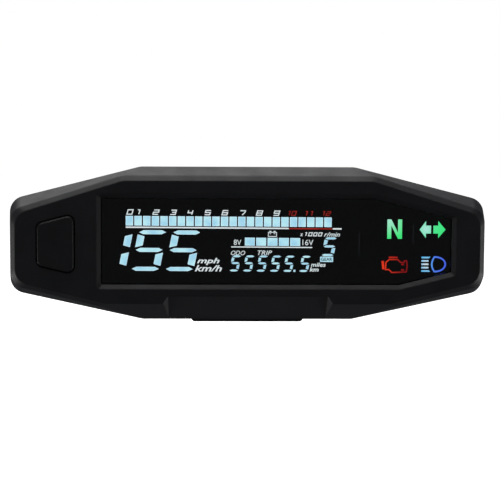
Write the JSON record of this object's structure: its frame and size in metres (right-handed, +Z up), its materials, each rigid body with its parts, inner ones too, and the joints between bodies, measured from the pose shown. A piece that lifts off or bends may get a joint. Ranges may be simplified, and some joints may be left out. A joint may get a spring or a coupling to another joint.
{
  "type": "motorcycle instrument cluster",
  "caption": "Long black hexagonal motorcycle dash with a smoked window over a lit segment display, telltale lamps, one push button and a rear mounting block.",
  "frame": {"origin": "on the rear mounting face, halfway between the two threaded inserts", "axes": "+Z up, +X to the viewer's right when reading the display, +Y out of the back; the display faces -Y"},
  "size_m": [0.193, 0.0298, 0.0634],
  "materials": {
    "black_abs": "fine moulded grain",
    "smoked_acrylic": "polished, smoked",
    "black_rubber": "matte",
    "grey_silicone": "matte",
    "lcd_glass": "polished",
    "polarizer_film": "satin film",
    "milky_sheet": "milky",
    "clear_acrylic": "polished",
    "white_plastic": "satin",
    "green_board": "solder resist",
    "chip_black": "matte",
    "zinc_steel": "zinc plated",
    "brass": "turned",
    "aluminium_can": "drawn"
  },
  "bodies": {
    "cluster": {"front_case": "black_abs", "rear_cover": "black_abs", "window_lens": "smoked_acrylic", "lens_gasket": "black_rubber", "case_seal": "black_rubber", "cable_gland": "black_rubber", "button_seal": "grey_silicone", "zebra_strip": "grey_silicone", "lcd_front_polarizer": "polarizer_film", "lcd_rear_polarizer": "polarizer_film", "telltale_mask": "polarizer_film", "lcd_front_glass": "lcd_glass", "lcd_rear_glass": "lcd_glass", "backlight_diffuser": "milky_sheet", "backlight_led_1": "milky_sheet", "backlight_led_2": "milky_sheet", "backlight_led_3": "milky_sheet", "backlight_led_4": "milky_sheet", "led_neutral": "milky_sheet", "led_turn_left": "milky_sheet", "led_turn_right": "milky_sheet", "led_engine": "milky_sheet", "led_high_beam": "milky_sheet", "light_guide": "clear_acrylic", "display_tray": "white_plastic", "harness_header": "white_plastic", "telltale_light_box": "chip_black", "switch_body": "chip_black", "microcontroller": "chip_black", "lcd_driver": "chip_black", "voltage_regulator": "chip_black", "vent_plug": "chip_black", "circuit_board": "green_board", "crystal": "zinc_steel", "filter_capacitor": "aluminium_can", "mount_insert_left": "brass", "mount_insert_right": "brass", "board_screw_1": "zinc_steel", "board_screw_2": "zinc_steel", "board_screw_3": "zinc_steel", "board_screw_4": "zinc_steel", "case_screw_1": "zinc_steel", "case_screw_2": "zinc_steel", "case_screw_3": "zinc_steel", "case_screw_4": "zinc_steel", "case_screw_5": "zinc_steel", "case_screw_6": "zinc_steel"},
    "button": {"button_cap": "black_abs"},
    "plunger": {"switch_plunger": "grey_silicone"}
  },
  "joints": [
    {"name": "button_press", "type": "slide", "parent": "cluster", "child": "button", "axis": [0, 1, 0], "range_m": [0, 0.0008], "stiffness_N_per_m": 800, "springref_m": -0.0005},
    {"name": "switch_click", "type": "slide", "parent": "cluster", "child": "plunger", "axis": [0, 1, 0], "range_m": [0, 0.0003]}
  ],
  "couplings": [
    {"joint": "switch_click", "follows": "button_press", "ratio": 0.37}
  ]
}
